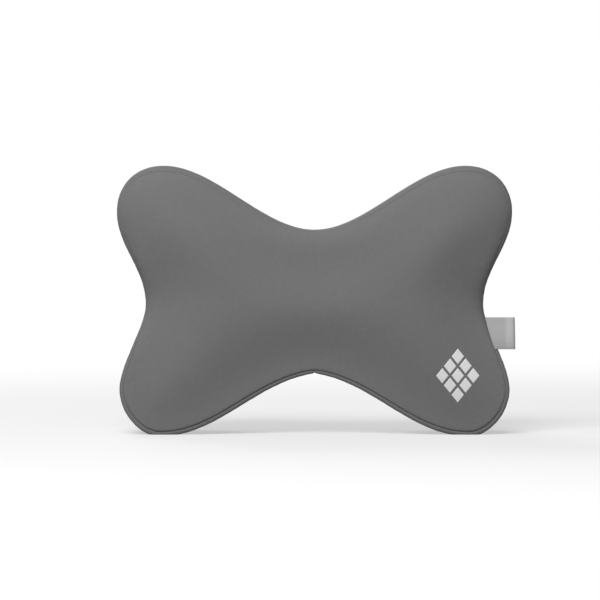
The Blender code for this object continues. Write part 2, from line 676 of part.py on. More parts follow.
def build_label():
    """A folded ribbon label, which stands out of the right side seam just below the waist."""
    layer = (LABEL_THICKNESS + SEAT_GAP) / 2
    fold_x = LABEL_REACH_X - layer - LABEL_THICKNESS / 2
    inside_x = WAIST[0] / 2
    path = [(inside_x, FRONT_SEAM_Y - layer)]
    for i in range(ARC_STEPS + 1):
        angle = math.pi * i / ARC_STEPS
        path.append((fold_x + layer * math.sin(angle), FRONT_SEAM_Y - layer * math.cos(angle)))
    path.append((inside_x, FRONT_SEAM_Y + layer))
    label = add_object("side_label", ribbon_mesh(path, LABEL_Z, LABEL_WIDTH), RIBBON)
    thicken(label, LABEL_THICKNESS)
    pillow = add_cutter("pillow_at_label", skin_mesh())
    offset_skin(pillow, SEAT_GAP)
    boolean(label, "DIFFERENCE", pillow)


for leftover in list(bpy.data.objects):
    bpy.data.objects.remove(leftover, do_unlink=True)

PARTS = new_collection("car_neck_pillow")
CUTTERS = new_collection("cutters")
FABRIC = material("matte_grey_cover", (0.17, 0.17, 0.17), 0.8)
FOAM = material("memory_foam", (0.72, 0.68, 0.56), 0.95)
TAPE = material("zip_tape", (0.09, 0.09, 0.09), 0.9)
TEETH = material("nylon_teeth", (0.05, 0.05, 0.05), 0.45)
METAL = material("zinc_alloy", (0.5, 0.5, 0.5), 0.3, 1.0)
WEBBING = material("black_webbing", (0.02, 0.02, 0.02), 0.85)
PLASTIC = material("black_acetal", (0.015, 0.015, 0.015), 0.4)
RIBBON = material("satin_ribbon", (0.33, 0.33, 0.33), 0.45)

build_cover()
build_foam()
build_zip()
build_slider()
build_strap()
build_buckle()
build_label()
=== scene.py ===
"""The looks of the car neck pillow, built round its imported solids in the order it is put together.

Metres, +Z up, front towards -Y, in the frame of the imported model. Cloth, foam, webbing, coils and
threads are surfaces worked out on a grid of two parameters. Castings and mouldings are the solids
with their edges rounded.
"""

import math

import bmesh
import bpy
import numpy as np
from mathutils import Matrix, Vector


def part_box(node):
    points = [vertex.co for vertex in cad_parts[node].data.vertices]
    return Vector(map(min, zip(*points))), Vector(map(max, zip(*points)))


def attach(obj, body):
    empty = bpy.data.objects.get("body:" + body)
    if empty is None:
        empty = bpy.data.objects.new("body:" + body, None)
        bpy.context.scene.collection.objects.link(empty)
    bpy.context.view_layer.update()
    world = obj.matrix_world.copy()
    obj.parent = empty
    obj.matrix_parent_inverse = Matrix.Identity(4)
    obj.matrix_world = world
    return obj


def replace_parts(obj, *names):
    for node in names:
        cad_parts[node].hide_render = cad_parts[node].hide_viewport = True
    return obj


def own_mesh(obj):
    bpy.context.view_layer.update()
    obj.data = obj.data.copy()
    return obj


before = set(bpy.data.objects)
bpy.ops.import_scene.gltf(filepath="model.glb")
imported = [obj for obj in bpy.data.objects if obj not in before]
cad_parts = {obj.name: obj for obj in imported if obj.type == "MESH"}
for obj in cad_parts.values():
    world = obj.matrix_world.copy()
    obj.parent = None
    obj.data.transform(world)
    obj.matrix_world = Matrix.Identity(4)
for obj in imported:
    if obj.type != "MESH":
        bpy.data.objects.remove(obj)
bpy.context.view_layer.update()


# Foam core
# One block of cream memory foam, moulded to the bone shape and cut flat behind the zip. It fills
# the cover, which takes its form from it, and shows only where the zip's slot lets one look in.

MM = 0.001

# The right half of the outline, in millimetres (x, z): saddle, upper crest, upper tip, waist,
# lower tip, lower crest and notch, with the way it runs there and how far it keeps to that way.
KNOTS = np.array([(0, 55), (114.5, 103.5), (150, 68.5), (128.5, -2), (148, -66), (118, -102), (0, -54)])
HEADINGS = np.array([(1, 0), (1, 0), (0, -1), (0, -1), (0, -1), (-1, 0), (-1, 0.15)])
REACH_BEFORE = np.array([0, 39, 20, 28, 18, 13, 45])
REACH_AFTER = np.array([39, 22, 26, 16, 20, 45, 0])
CURVE_POINTS = 200  # on the curve between two knots
AROUND = 720  # points round the outline, 1.4 mm apart
SEAM_SPREAD = 4 * MM  # length over which a seam rounds off the outline's corner in the notch

SEAT_GAP = 0.3 * MM
band_low, band_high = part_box("cover_side_band")
FLOOR_Z = band_low.z
FRONT_SEAM_Y = band_low.y - SEAT_GAP / 2
BACK_SEAM_Y = band_high.y + SEAT_GAP / 2
WAIST_INSET = 0.3 * MM  # how far the front seam lies inside the band at the waist
SADDLE_INSET = 1.4 * MM
NOTCH_INSET = 2.8 * MM
UPPER_CREST_INSET = 4.4 * MM
LOWER_CREST_INSET = 3.6 * MM
LOBE_START_X = 60 * MM  # way out from the middle over which the insets become those of the lobes
LOBE_START_Z = 50 * MM
TOP_START_Z = 60 * MM  # height over which the edge becomes that of the upper lobes
BACK_INSET = 4 * MM  # from the outline to the back seam
BACK_ROLL = 12 * MM  # width of the back's rounded edge
EDGE_RISE = 1.1 * MM  # how far the front's rounded edge stands out past its seam
EDGE_ROLL = 2.6 * MM  # and how wide it is
TOP_RISE = 7 * MM  # the same two round the upper lobes
TOP_ROLL = 16 * MM
WAIST_DROP = 11 * MM  # how far the front and its seam fall back towards the waist
WAIST_ROLL = 22 * MM  # how far in from the seam they do
WAIST_REACH = 24 * MM  # and how far above and below the waist
DOME = 15.2 * MM  # how much further the middle of the front stands out
DOME_REACH = 46 * MM  # how far in from the seam it has risen by 0.63 of that
HOLLOW_DEPTH = 10 * MM  # the dip for the head, below the saddle
HOLLOW_Z = 105 * MM  # height of its middle
HOLLOW_FLOOR = 50 * MM  # radius up to which it has all its depth
HOLLOW_RIM = 118 * MM  # and from which it has none
NEAR_EDGE = 3 * MM  # nearer the seam than this, depth inside it is the plain distance
DEEP = 12 * MM  # and further in than this, the smooth one
POINTS_AT_ONCE = 1500  # that are measured together, to spare memory
FOAM_INSET = 2.4 * MM
FOAM_FULLNESS = 0.6
FOAM_FRONT_RINGS = 26
FOAM_SIDE_RINGS = 9
FOAM_BACK_RINGS = 14
FOAM_BACK_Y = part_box("foam_core")[1].y
PORE = 1.1 * MM
SAME_POINT = 0.5 * MM / 1000  # points nearer to each other than this become one


def smooth_step(value):
    """3 t^2 - 2 t^3, where t is the value kept between 0 and 1."""
    t = np.clip(value, 0, 1)
    return t * t * (3 - 2 * t)


def evenly(line, count):
    """A line of points as `count` points, each the same length of line on from the last."""
    length = np.concatenate([[0], np.cumsum(np.linalg.norm(np.diff(line, axis=0), axis=1))])
    at = np.linspace(0, length[-1], count)
    return np.stack([np.interp(at, length, line[:, axis]) for axis in (0, 1)], axis=1)


def outline_loop():
    """The outline, clockwise from the saddle. Between two knots a and d, with b and c reached
    along their headings, it is (1 - t)^3 a + 3 (1 - t)^2 t b + 3 (1 - t) t^2 c + t^3 d."""
    t = np.linspace(0, 1, CURVE_POINTS, endpoint=False)[:, None, None]
    a, d = KNOTS[:-1], KNOTS[1:]
    b = a + HEADINGS[:-1] * REACH_AFTER[:-1, None]
    c = d - HEADINGS[1:] * REACH_BEFORE[1:, None]
    curves = (1 - t) ** 3 * a + 3 * (1 - t) ** 2 * t * b + 3 * (1 - t) * t**2 * c + t**3 * d
    half = np.vstack([curves.transpose(1, 0, 2).reshape(-1, 2), KNOTS[-1:]]) * MM
    return evenly(np.vstack([half, half[-2::-1] * (-1, 1)]), AROUND + 1)[:-1]


def averaged(loop, reach):
    """A closed loop averaged along itself by a bell curve of that reach: each of its waves, of
    frequency f, fades by exp(-2 (pi f reach)^2)."""
    waves = np.fft.fftfreq(len(loop), LOOP_STEP)
    fade = np.exp(-2 * (math.pi * waves * reach) ** 2)
    return np.fft.ifft(np.fft.fft(loop, axis=0) * fade[:, None], axis=0).real


def outward(loop):
    """Unit normals of a clockwise loop: its direction turned a quarter turn to the left."""
    along = np.roll(loop, -1, axis=0) - np.roll(loop, 1, axis=0)
    normal = averaged(np.stack([-along[:, 1], along[:, 0]], axis=1), SEAM_SPREAD)
    return normal / np.linalg.norm(normal, axis=1, keepdims=True)


def from_edge(points, loop):
    """How deep (x, z) points lie inside a loop, with no crease along its middle.

    Near the loop it is the distance to the nearest stretch of it. Further in it is (2 / pi times
    the sum of step / r^4 along the loop)^(-1/3), which beside a straight edge is the distance.
    """
    along = np.roll(loop, -1, axis=0) - loop
    step = np.linalg.norm(along, axis=1)
    depths = []
    for some in np.array_split(points, 1 + len(points) // POINTS_AT_ONCE):
        reach = some[:, None] - loop
        share = np.clip((reach * along).sum(2) / step**2, 0, 1)
        nearest = np.linalg.norm(reach - share[..., None] * along, axis=2).min(1)
        to_middle = ((reach - along / 2) ** 2).sum(2)
        smooth = (2 / math.pi * (step / to_middle**2).sum(1)) ** (-1 / 3)
        weight = smooth_step((nearest - NEAR_EDGE) / (DEEP - NEAR_EDGE))
        depths.append(nearest + (smooth - nearest) * weight)
    return np.concatenate(depths)


def at_waist(points):
    """1 at the waist on either side, falling off by exp(-(z / reach)^2) and towards the middle."""
    from_waist = (points[:, 1] - KNOTS[3, 1] * MM) / WAIST_REACH
    return smooth_step(np.abs(points[:, 0]) / KNOTS[3, 0] / MM) * np.exp(-(from_waist**2))


def front_rise(points, seam):
    """How far the front stands out past its seam at (x, z), with d the depth inside the seam.

    It is an edge, rise times (1 - exp(-2 d / roll))^(1/2), which rolls over more slowly round the
    upper lobes, to the power 1, and a dome, 1 - exp(-(d / reach)^2) times its height, which is
    less in the hollow for the head. Towards the waist the edge falls back by the drop.
    """
    inside = from_edge(points, seam)
    waist = at_waist(points)
    top = smooth_step(points[:, 1] / TOP_START_Z)
    roll = EDGE_ROLL + (TOP_ROLL - EDGE_ROLL) * top
    edge = (1 - np.exp(-2 * inside / roll)) ** (0.5 + 0.5 * top)
    drop = WAIST_DROP * waist * (1 - np.sqrt(1 - np.exp(-2 * inside / WAIST_ROLL)))
    from_head = np.linalg.norm(points - (0, HOLLOW_Z), axis=1)
    dome = DOME - HOLLOW_DEPTH * smooth_step((HOLLOW_RIM - from_head) / (HOLLOW_RIM - HOLLOW_FLOOR))
    rise = (EDGE_RISE + (TOP_RISE - EDGE_RISE) * top) * edge - drop
    return rise + dome * (1 - np.exp(-((inside / DOME_REACH) ** 2)))


def grid_mesh(name, points, flat=None, around=False, closed=False):
    """A mesh over one or more grids of points, of copies by rows by columns by 3.

    Where a grid goes around, its last column joins its first. flat, of copies by rows by columns
    by 2, becomes the UV map in metres, and has one column more where the grid goes around. Points
    that fall together, as at a pole, become one, and the faces of a closed mesh are turned outwards.
    """
    points = points.reshape(-1, *points.shape[-3:])
    copies, rows, columns = points.shape[:3]
    copy, row, column = np.mgrid[0:copies, 0 : rows - 1, 0 : columns if around else columns - 1]
    rows_of = np.stack([row, row, row + 1, row + 1], axis=-1).reshape(-1, 4)
    columns_of = np.stack([column, column + 1, column + 1, column], axis=-1).reshape(-1, 4)
    copy_of = copy.reshape(-1, 1)
    mesh = bpy.data.meshes.new(name)
    faces = (copy_of * rows + rows_of) * columns + columns_of % columns
    mesh.from_pydata(points.reshape(-1, 3).tolist(), [], faces.tolist())
    if flat is not None:
        flat = flat.reshape(-1, *flat.shape[-3:])
        corners = flat[copy_of, rows_of, columns_of].astype(np.float32)
        mesh.uv_layers.new(name="flat").uv.foreach_set("vector", corners.ravel())
    weld(mesh, closed)
    return mesh


def weld(mesh, closed=False):
    """Makes one of the points that fall together, and turns the faces of a closed mesh outwards."""
    bm = bmesh.new()
    bm.from_mesh(mesh)
    bmesh.ops.remove_doubles(bm, verts=bm.verts, dist=SAME_POINT)
    if closed:
        bmesh.ops.recalc_face_normals(bm, faces=bm.faces)
    bm.to_mesh(mesh)
    bm.free()


def new_piece(name, mesh, material, body):
    """Puts a mesh into the scene, smooth, with its finish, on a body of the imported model."""
    made = bpy.data.objects.new(name, mesh)
    bpy.context.scene.collection.objects.link(made)
    mesh.shade_smooth()
    mesh.materials.append(material)
    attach(made, body)
    return made


def colour(code):
    """A hex sRGB code as linear red, green, blue and alpha: c / 12.92 up to 0.04045, and above it
    ((c + 0.055) / 1.055)^2.4."""
    channels = np.array([int(code[i : i + 2], 16) for i in (1, 3, 5)]) / 255
    linear = np.where(channels <= 0.04045, channels / 12.92, ((channels + 0.055) / 1.055) ** 2.4)
    return (*linear.tolist(), 1.0)


def new_material(name, **sockets):
    """A Principled material, with its constants set on the shader's own sockets."""
    made = bpy.data.materials.new(name)
    made.use_nodes = True
    shader = made.node_tree.nodes["Principled BSDF"]
    for socket, value in sockets.items():
        shader.inputs[socket.replace("_", " ")].default_value = value
    return made


def add_node(material, kind, sockets, **settings):
    """Adds a node to a material or the world. A socket is given a number, a colour or an output."""
    made = material.node_tree.nodes.new(kind)
    for setting, value in settings.items():
        setattr(made, setting, value)
    for socket, value in sockets.items():
        if isinstance(value, bpy.types.NodeSocket):
            material.node_tree.links.new(value, made.inputs[socket])
        else:
            made.inputs[socket].default_value = value
    return made


def into_shader(material, socket, output):
    """Links a node's output to a socket of the material's shader."""
    shader = material.node_tree.nodes["Principled BSDF"]
    material.node_tree.links.new(output, shader.inputs[socket])


def between(material, share, low, high):
    """The output that runs from one colour to another as share goes from 0 to 1."""
    ramp = add_node(material, "ShaderNodeValToRGB", {"Fac": share})
    ramp.color_ramp.elements[0].color = colour(low)
    ramp.color_ramp.elements[1].color = colour(high)
    return ramp.outputs["Color"]


def wave_scale(pitch):
    """The scale at which Blender's wave texture, sin(20 scale x), repeats every pitch."""
    return math.pi / 10 / pitch


outline = outline_loop()
LOOP_STEP = np.linalg.norm(np.roll(outline, -1, axis=0) - outline, axis=1).mean()
normal = outward(outline)
lobe_x = smooth_step(np.abs(outline[:, 0]) / LOBE_START_X)
lobe = lobe_x * smooth_step(np.abs(outline[:, 1]) / LOBE_START_Z)
below = smooth_step(-outline[:, 1] / LOBE_START_Z)
least_inset = SADDLE_INSET + (NOTCH_INSET - SADDLE_INSET) * below
crest_inset = UPPER_CREST_INSET + (LOWER_CREST_INSET - UPPER_CREST_INSET) * below
seam_inset = least_inset + (crest_inset - least_inset) * lobe * np.abs(normal[:, 1])
seam_inset = seam_inset + (WAIST_INSET - seam_inset) * at_waist(outline)
front_seam = averaged(outline - normal * seam_inset[:, None], SEAM_SPREAD)
back_seam = averaged(outline - normal * BACK_INSET, SEAM_SPREAD)


def foam_surface():
    """The block as rings from the middle of its front to the middle of its back: the front's rise
    over an inset seam, a side that bulges by sin(pi t)^fullness, and a flat back."""
    inner = front_seam - normal * FOAM_INSET
    share = 1 - np.linspace(1, 0, FOAM_FRONT_RINGS) ** 2
    front = inner * share[:, None, None]
    rise = front_rise(front.reshape(-1, 2), inner).reshape(front.shape[:2])
    side = np.linspace(0, 1, FOAM_SIDE_RINGS)[1:, None, None]
    outer = outline - normal * FOAM_INSET
    bulge = np.sin(math.pi * side) ** FOAM_FULLNESS * (outer - inner)
    sides = inner + (back_seam - normal * FOAM_INSET - inner) * side + bulge
    seam_y = FRONT_SEAM_Y + WAIST_DROP * at_waist(inner)
    side_y = seam_y + (FOAM_BACK_Y - seam_y) * side[..., 0]
    back = (back_seam - normal * FOAM_INSET) * np.linspace(1, 0, FOAM_BACK_RINGS)[1:, None, None]
    back_y = np.full(back.shape[:2], FOAM_BACK_Y)
    places = np.concatenate([front, sides, back])
    depths = np.concatenate([FRONT_SEAM_Y + FOAM_INSET - rise, side_y, back_y])
    heights = np.maximum(places[..., 1], FLOOR_Z + FOAM_INSET)
    return np.stack([places[..., 0], depths, heights], axis=-1)


# Polyurethane memory foam with a moulded skin: cream, dull and faintly porous.
foam = new_material("polyurethane_foam_moulded", Roughness=0.95, Specular_IOR_Level=0.25)
place = add_node(foam, "ShaderNodeTexCoord", {}).outputs["Object"]
pores = add_node(foam, "ShaderNodeTexVoronoi", {"Vector": place, "Scale": 1 / PORE})
into_shader(foam, "Base Color", between(foam, pores.outputs["Distance"], "#d8cfb2", "#e6dfc8"))
pitted = add_node(foam, "ShaderNodeBump", {"Height": pores.outputs["Distance"], "Distance": 0.15 * MM})
into_shader(foam, "Normal", pitted.outputs["Normal"])

mesh = grid_mesh("foam_block", foam_surface(), around=True)
foam_block = new_piece("foam_block", mesh, foam, "pillow")
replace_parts(foam_block, "foam_core")


# Front panel of the cover
# One piece of smooth grey knit, cut to the bone shape and stretched over the foam. It is sewn face
# to face with the side band, so both roll inwards at the seam and leave a fine groove.

RINGS = 60
CLOTH = 1 * MM
GROOVE_DEPTH = 0.5 * MM  # how far the cloth sinks at a seam
GROOVE_WIDTH = 0.8 * MM  # to either side
TOP_GROOVE = 0.2  # share of that depth where the seam is pulled open, over the top and the sides
FULL_GROOVE = 0.65  # how far down the outline faces, as a cosine, where the groove has all of it
PUCKER = 0.06 * MM  # ripple that the stitches draw into the cloth beside the seam
PUCKER_PITCH = 7 * MM
PUCKER_SLOWER = 2.7  # pitch of the slower ripple, as a multiple of the other
PUCKER_START = 1 * MM  # way from the seam in which the ripple begins
PUCKER_REACH = 9 * MM  # and in which it ends
KNIT_PITCH = 1.1 * MM  # coarser than the real knit, which would not show
COURSE_PITCH = 0.8 * KNIT_PITCH
NAP_SIZE = 0.5 * MM
TONE_SIZE = 3 * MM  # of the lighter and darker patches in the yarn


def groove(from_seam):
    """How far cloth sinks near the seam it is sewn in: depth times exp(-(s / width)^2)."""
    return GROOVE_DEPTH * np.exp(-((from_seam / GROOVE_WIDTH) ** 2))


# The front seam's share of that depth, which grows with how far down the outline faces.
pulled = TOP_GROOVE + (1 - TOP_GROOVE) * smooth_step(-normal[:, 1] / FULL_GROOVE)


def puckers(from_seam):
    """Ripples along the seam, sin(2 pi a / pitch) with a slower one, times exp(-(s / reach)^2) and
    (1 - exp(-s / start)), with s the way from the seam."""
    angle = 2 * math.pi * np.arange(AROUND) * LOOP_STEP / PUCKER_PITCH
    wave = np.sin(angle) + np.sin(angle / PUCKER_SLOWER)
    fade = np.exp(-((from_seam / PUCKER_REACH) ** 2)) * (1 - np.exp(-from_seam / PUCKER_START))
    return PUCKER * wave * fade


def front_surface():
    """The panel as rings from its middle to its seam, 1 - (1 - t)^3 of the way, and its UV map,
    which unrolls each line from the middle to the seam to its true length."""
    share = 1 - np.linspace(1, 0, RINGS + 1) ** 3
    flat = front_seam * share[:, None, None]
    rise = front_rise(flat.reshape(-1, 2), front_seam).reshape(flat.shape[:2])
    from_seam = np.linalg.norm(front_seam - flat, axis=2)
    depth = FRONT_SEAM_Y - rise + pulled * groove(from_seam) + puckers(from_seam)
    points = np.stack([flat[..., 0], depth, flat[..., 1]], axis=-1)
    steps = np.linalg.norm(np.diff(points, axis=0), axis=2)
    reach = np.concatenate([np.zeros((1, AROUND)), np.cumsum(steps, axis=0)])
    way = front_seam / np.linalg.norm(front_seam, axis=1, keepdims=True)
    unrolled = reach[..., None] * way
    return points, np.concatenate([unrolled, unrolled[:, :1]], axis=1)


def give_thickness(piece, thickness):
    """Adds a wall of cloth on the inner side of a surface."""
    wall = piece.modifiers.new("Cloth", "SOLIDIFY")
    wall.thickness = thickness
    wall.offset = -1


# Brushed polyester knit in mid grey: matt, a little mixed in tone, with a faint soft nap.
knit = new_material("polyester_knit_brushed", Roughness=0.9, Specular_IOR_Level=0.2, Sheen_Weight=0.06)
knit_place = add_node(knit, "ShaderNodeTexCoord", {}).outputs
wales = add_node(
    knit,
    "ShaderNodeTexWave",
    {"Vector": knit_place["UV"], "Scale": wave_scale(KNIT_PITCH), "Distortion": 0.6, "Detail": 0.0},
    bands_direction="X",
)
courses = add_node(
    knit,
    "ShaderNodeTexWave",
    {"Vector": knit_place["UV"], "Scale": wave_scale(COURSE_PITCH), "Distortion": 0.6, "Detail": 0.0},
    bands_direction="Y",
)
loops = add_node(
    knit, "ShaderNodeMath", {0: wales.outputs["Fac"], 1: courses.outputs["Fac"]}, operation="MULTIPLY"
)
nap = add_node(
    knit, "ShaderNodeTexNoise", {"Vector": knit_place["Object"], "Scale": 1 / NAP_SIZE, "Detail": 3.0}
)
tone = add_node(
    knit, "ShaderNodeTexNoise", {"Vector": knit_place["Object"], "Scale": 1 / TONE_SIZE, "Detail": 5.0}
)
into_shader(knit, "Base Color", between(knit, tone.outputs["Fac"], "#696969", "#717171"))
fuzzy = add_node(knit, "ShaderNodeBump", {"Height": nap.outputs["Fac"], "Distance": 0.04 * MM})
looped = add_node(
    knit,
    "ShaderNodeBump",
    {"Height": loops.outputs["Value"], "Distance": 0.05 * MM, "Normal": fuzzy.outputs["Normal"]},
)
into_shader(knit, "Normal", looped.outputs["Normal"])

front_points, front_flat = front_surface()
mesh = grid_mesh("front_panel", front_points, front_flat, around=True)
front_panel = new_piece("front_panel", mesh, knit, "pillow")
give_thickness(front_panel, CLOTH)
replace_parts(front_panel, "cover_front_panel")


# Side band of the cover
# A strip of the same knit, 70 mm wide, sewn all round between front and back. It rolls over at
# the front seam like a bead, and its two ends are joined in the notch below.

TOP_SHOULDER = 6 * MM  # depth over which the band rolls over
LOW_SHOULDER = 2.5 * MM
TOP_TURN = math.radians(30)  # how far it faces up already at the seam, over the upper lobes
SHOULDER_ROWS = 12
BAND_ROWS = 26
JOINT_DEPTH = 0.5 * MM  # how far the joint in the notch sinks


def band_surface():
    """The band from the front seam to the back seam.

    Its shoulder is up to a quarter of an ellipse, which faces forwards at the seam and outwards
    a little way behind it. Further back it leans in to the back seam by the cube of the way there.
    """
    start = TOP_TURN * smooth_step(outline[:, 1] / TOP_START_Z)
    turn = start + (math.pi / 2 - start) * np.linspace(0, 1, SHOULDER_ROWS)[:, None]
    way = np.sin(np.linspace(0, math.pi / 2, BAND_ROWS))[1:, None]
    shoulder = TOP_SHOULDER + (LOW_SHOULDER - TOP_SHOULDER) * below
    seam_y = FRONT_SEAM_Y + WAIST_DROP * at_waist(front_seam)
    roll_y = seam_y + shoulder * (1 - np.cos(turn) / np.cos(start))
    shoulder_end = seam_y + shoulder
    depth = np.concatenate([roll_y, shoulder_end + (BACK_SEAM_Y - shoulder_end) * way])
    rolled = (np.sin(turn) - np.sin(start)) / (1 - np.sin(start))
    roll = front_seam + (outline - front_seam) * rolled[..., None]
    side = outline + (back_seam - outline) * way[..., None] ** 3
    place = np.concatenate([roll, side])
    from_front = np.linalg.norm(place - front_seam, axis=2) + depth - seam_y
    from_back = BACK_SEAM_Y - depth
    from_notch = (np.arange(AROUND) - AROUND // 2) * LOOP_STEP
    joint = JOINT_DEPTH * np.exp(-((from_notch / GROOVE_WIDTH) ** 2))
    joint = joint * np.minimum(from_front / LOW_SHOULDER, 1)
    sink = groove(from_back) + joint - puckers(from_front)
    place = place - normal * sink[..., None]
    height = np.maximum(place[..., 1], FLOOR_Z)
    points = np.stack([place[..., 0], depth + pulled * groove(from_front), height], axis=-1)
    down = np.concatenate([depth, depth[:, :1]], axis=1)
    return points, np.stack(np.broadcast_arrays(np.arange(AROUND + 1) * LOOP_STEP, down), axis=-1)


band_points, band_flat = band_surface()
mesh = grid_mesh("side_band", band_points, band_flat, around=True)
side_band = new_piece("side_band", mesh, knit, "pillow")
give_thickness(side_band, CLOTH)
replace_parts(side_band, "cover_side_band")


# Back panels of the cover
# Two pieces of the knit above and below the zip. Their inner edges are folded in and topstitched
# to the zip's tapes, and past the zip's ends they are sewn to each other.

ZIP_Z = -14 * MM
ZIP_LENGTH = 200 * MM
ZIP_OPENING = 9 * MM
SLOT_END = 3 * MM  # length over which the slot closes at each end
HEM_ROUND = 0.8 * MM
BACK_ROWS = 46


def back_depth(points):
    """Y of the back at (x, z): a quarter round, sqrt(1 - (1 - d / roll)^2), and then flat."""
    share = np.clip(from_edge(points, back_seam) / BACK_ROLL, 0, 1)
    return BACK_SEAM_Y * (1 - np.sqrt(1 - (1 - share) ** 2))


def back_surface(side):
    """The panel above (side 1) or below (side -1) the zip, as lines from the back seam to the
    zip's edge, spaced (1 - cos pi t) / 2 along. The slot closes by a smooth step at each end."""
    crossing = int(np.argmax(back_seam[:, 1] < ZIP_Z))
    if side > 0:
        run = np.arange(-crossing, crossing + 1)
    else:
        run = np.arange(crossing - 1, AROUND - crossing + 2)
    seam = back_seam[run]
    seam[:, 1] = ZIP_Z + side * np.maximum(side * (seam[:, 1] - ZIP_Z), SEAT_GAP / 2)
    zip_x = np.linspace(seam[0, 0], seam[-1, 0], len(run))
    open_share = smooth_step((ZIP_LENGTH / 2 + SLOT_END / 2 - np.abs(zip_x)) / SLOT_END)
    gap = SEAT_GAP / 2 + (ZIP_OPENING - SEAT_GAP) / 2 * open_share
    edge = np.stack([zip_x, ZIP_Z + side * gap], axis=1)
    t = ((1 - np.cos(np.linspace(0, math.pi, BACK_ROWS))) / 2)[:, None, None]
    place = seam + (edge - seam) * t
    depth = back_depth(place.reshape(-1, 2)).reshape(place.shape[:2])
    sunk = place - normal[run] * groove(depth - BACK_SEAM_Y)[..., None]
    to_hem = np.clip(np.abs(place[..., 1] - edge[None, :, 1]) / HEM_ROUND, 0, 1)
    depth = depth - HEM_ROUND * (1 - np.sqrt(1 - (1 - to_hem) ** 2))
    height = np.maximum(sunk[..., 1], FLOOR_Z)
    points = np.stack([sunk[..., 0], depth, height], axis=-1)
    return points, np.stack([sunk[..., 0], height], axis=-1)


for name, side in (("upper", 1), ("lower", -1)):
    back_points, back_flat = back_surface(side)
    mesh = grid_mesh(f"back_panel_{name}", back_points, back_flat)
    back_panel = new_piece(f"back_panel_{name}", mesh, knit, "pillow")
    give_thickness(back_panel, CLOTH)
    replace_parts(back_panel, f"cover_back_{name}")


# Label
# A bare strip of light grey satin ribbon, folded double and caught in the right side seam by its
# two ends. The fold keeps round, so it shines along its length.

RIBBON_COLUMNS = 14  # points across each face of a ribbon
RIBBON_EDGE_STEPS = 6  # and round each of its edges
LABEL_THICKNESS = 0.45 * MM
LABEL_INSIDE_X = 127 * MM  # where its ends lie behind the front panel
LABEL_LIE = 0.6 * LABEL_THICKNESS  # from the label's middle to that of a layer, inside the seam
LABEL_FOLD = 0.85 * MM  # radius of the fold, to the middle of the ribbon
LABEL_FOLD_LENGTH = 7 * MM  # length over which the two layers part towards the fold
LABEL_LAYER_POINTS = 30
LABEL_FOLD_POINTS = 24
LABEL_RINGS = 90
FLOAT_PITCH = 0.7 * MM  # of the satin's long floats, across the ribbon
label_low, label_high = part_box("side_label")
LABEL_Z = (label_low.z + label_high.z) / 2
LABEL_Y = FRONT_SEAM_Y + LABEL_THICKNESS  # where the seam doesn't fall back


def ribbon_surface(path, middle_z, width, thickness):
    """A ribbon along a line of (x, y), as rings of its section, two flats with a half circle round
    each edge, and its UV map. Its first and last rings close on to the middle of the ribbon."""
    half = thickness / 2
    reach = width / 2 - half
    across = np.linspace(-reach, reach, RIBBON_COLUMNS)
    turn = np.linspace(math.pi / 2, -math.pi / 2, RIBBON_EDGE_STEPS + 1)[1:-1]
    edge = reach + half * np.cos(turn)
    level = np.full(RIBBON_COLUMNS, half)
    wide = np.concatenate([across, edge, -across, -edge])
    out = np.concatenate([level, half * np.sin(turn), -level, -half * np.sin(turn)])
    along = np.gradient(path, axis=0)
    along /= np.linalg.norm(along, axis=1, keepdims=True)
    side = np.stack([-along[:, 1], along[:, 0]], axis=1)
    rings = np.concatenate([[0], np.arange(len(path)), [len(path) - 1]])
    open_by = np.concatenate([[0], np.ones(len(path)), [0]])
    place = path[rings, None] + side[rings, None] * (out * open_by[:, None])[..., None]
    heights = np.broadcast_to(wide + middle_z, place.shape[:2])
    points = np.concatenate([place, heights[..., None]], axis=2)
    steps = np.linalg.norm(np.diff(path, axis=0), axis=1)
    length = np.concatenate([[0], np.cumsum(steps)])[rings]
    girth = np.linspace(0, 2 * (width + thickness), len(wide) + 1)
    flat = np.stack(np.broadcast_arrays(length[:, None], girth), axis=-1)
    return points, flat


def label_path():
    """Out along one layer, round the fold, and back along the other. Towards the fold the layers
    part by a smooth step, until each is a fold's radius from the middle."""
    fold_x = label_high.x - LABEL_FOLD - LABEL_THICKNESS / 2
    x = np.linspace(LABEL_INSIDE_X, fold_x, LABEL_LAYER_POINTS)
    parting = smooth_step((x - fold_x) / LABEL_FOLD_LENGTH + 1)
    apart = LABEL_LIE + (LABEL_FOLD - LABEL_LIE) * parting
    angle = np.linspace(0, math.pi, LABEL_FOLD_POINTS)[1:-1]
    fold = np.stack([fold_x + LABEL_FOLD * np.sin(angle), -LABEL_FOLD * np.cos(angle)], axis=1)
    layer = np.stack([x, -apart], axis=1)
    line = np.concatenate([layer, fold, layer[::-1] * (1, -1)])
    return line + (0, LABEL_Y)


# Woven polyester satin: long floats of smooth yarn give a soft sheen across the ribbon.
satin = new_material("polyester_satin_woven", Roughness=0.42, Specular_IOR_Level=0.5, Sheen_Weight=0.1)
satin_uv = add_node(satin, "ShaderNodeTexCoord", {}).outputs["UV"]
floats = add_node(
    satin,
    "ShaderNodeTexWave",
    {"Vector": satin_uv, "Scale": wave_scale(FLOAT_PITCH), "Distortion": 1.5, "Detail": 2.0},
    bands_direction="Y",
)
into_shader(satin, "Base Color", between(satin, floats.outputs["Fac"], "#828282", "#8e8e8e"))
yarns = add_node(satin, "ShaderNodeBump", {"Height": floats.outputs["Fac"], "Distance": 0.03 * MM})
into_shader(satin, "Normal", yarns.outputs["Normal"])

label_points, label_flat = ribbon_surface(
    evenly(label_path(), LABEL_RINGS), LABEL_Z, label_high.z - label_low.z, LABEL_THICKNESS
)

